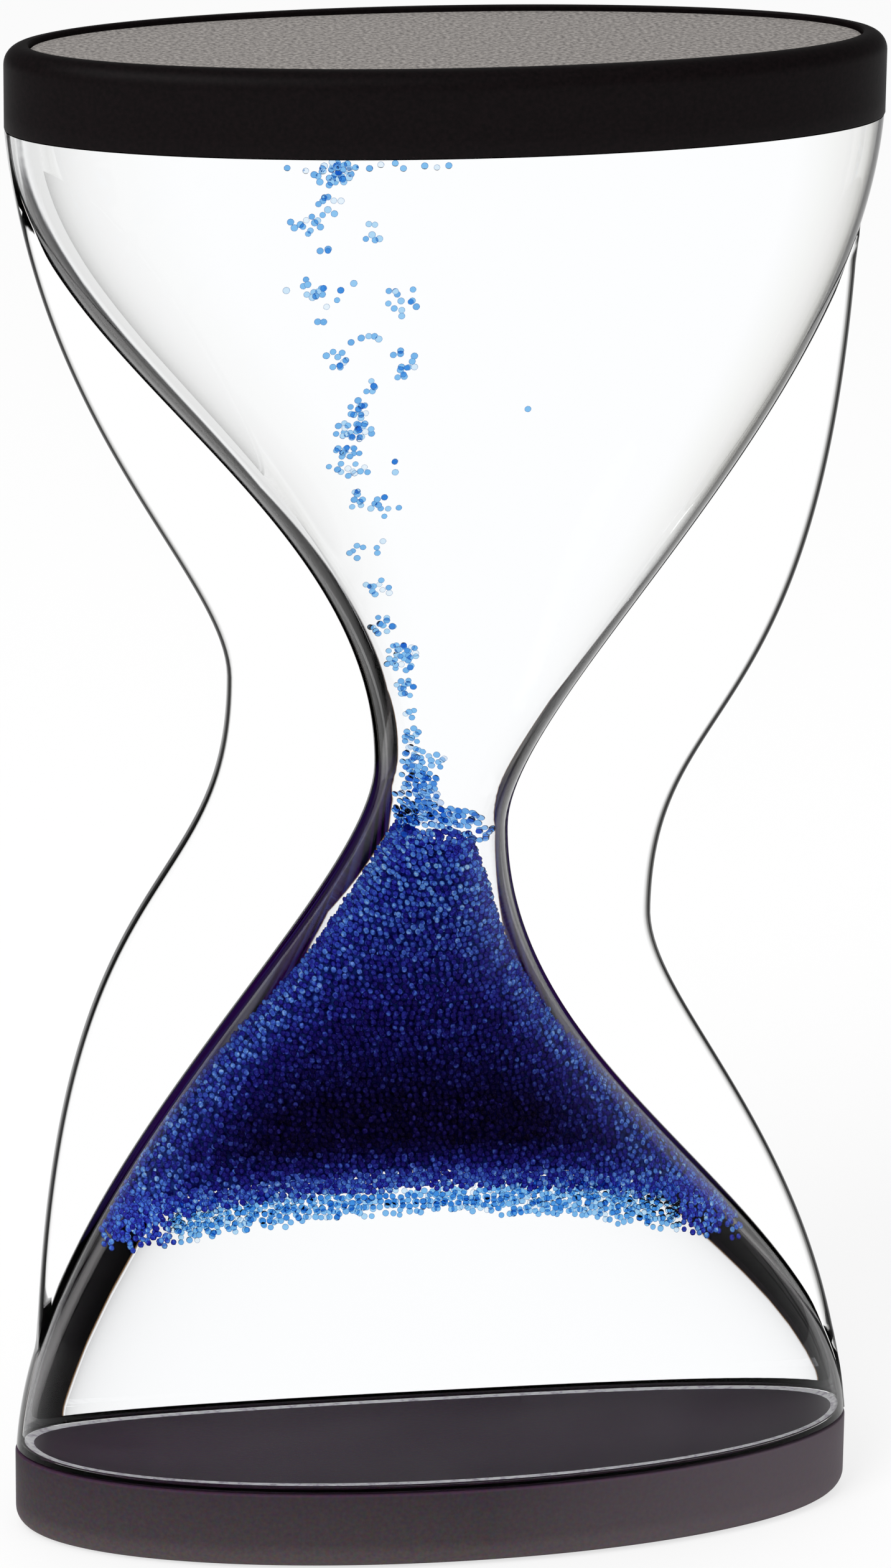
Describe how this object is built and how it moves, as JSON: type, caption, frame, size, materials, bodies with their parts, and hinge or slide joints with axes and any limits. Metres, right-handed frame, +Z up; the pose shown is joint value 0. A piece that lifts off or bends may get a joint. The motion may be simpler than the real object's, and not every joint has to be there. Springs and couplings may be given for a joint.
{
  "type": "liquid hourglass",
  "caption": "Free-standing oval liquid hourglass: skewed clear bulb with side webs between two black caps, blue beads rising through a clear liquid",
  "frame": {"origin": "middle of the base, on the surface that the hourglass stands on", "axes": "+X along the width, +Y towards the back, +Z up"},
  "size_m": [0.073, 0.0284, 0.13],
  "materials": {
    "cap_plastic": "black moulded plastic with a fine matt grain",
    "pad_foam": "dark grey non-slip sheet with a fine grain",
    "seal_rubber": "soft black sealing rubber",
    "clear_plastic": "polished clear styrene plastic",
    "clear_liquid": "clear colourless liquid",
    "bead_blue": "translucent blue plastic beads"
  },
  "bodies": {
    "root": {"top_cap": "cap_plastic", "bottom_cap": "cap_plastic", "top_pad": "pad_foam", "bottom_pad": "pad_foam", "top_seal": "seal_rubber", "bottom_seal": "seal_rubber", "filler_plug": "cap_plastic", "plug_ring": "seal_rubber", "front_shell": "clear_plastic", "back_shell": "clear_plastic", "carrier_liquid": "clear_liquid", "bead_bed": "bead_blue", "risen_beads": "bead_blue"},
    "neck_beads_swarm": {"neck_beads": "bead_blue"},
    "lower_stream_beads_swarm": {"lower_stream_beads": "bead_blue"},
    "middle_stream_beads_swarm": {"middle_stream_beads": "bead_blue"},
    "upper_stream_beads_swarm": {"upper_stream_beads": "bead_blue"},
    "side_stream_beads_swarm": {"side_stream_beads": "bead_blue"}
  },
  "joints": [
    {"name": "neck_beads_rise", "type": "slide", "parent": "root", "child": "neck_beads_swarm", "axis": [0, 0, 1], "range_m": [0, 0.05088]},
    {"name": "lower_stream_beads_rise", "type": "slide", "parent": "root", "child": "lower_stream_beads_swarm", "axis": [0, 0, 1], "range_m": [0, 0.03631]},
    {"name": "middle_stream_beads_rise", "type": "slide", "parent": "root", "child": "middle_stream_beads_swarm", "axis": [0, 0, 1], "range_m": [0, 0.01926]},
    {"name": "upper_stream_beads_rise", "type": "slide", "parent": "root", "child": "upper_stream_beads_swarm", "axis": [0, 0, 1], "range_m": [0, 0.0095]},
    {"name": "side_stream_beads_rise", "type": "slide", "parent": "root", "child": "side_stream_beads_swarm", "axis": [0, 0, 1], "range_m": [0, 0.01114]}
  ]
}
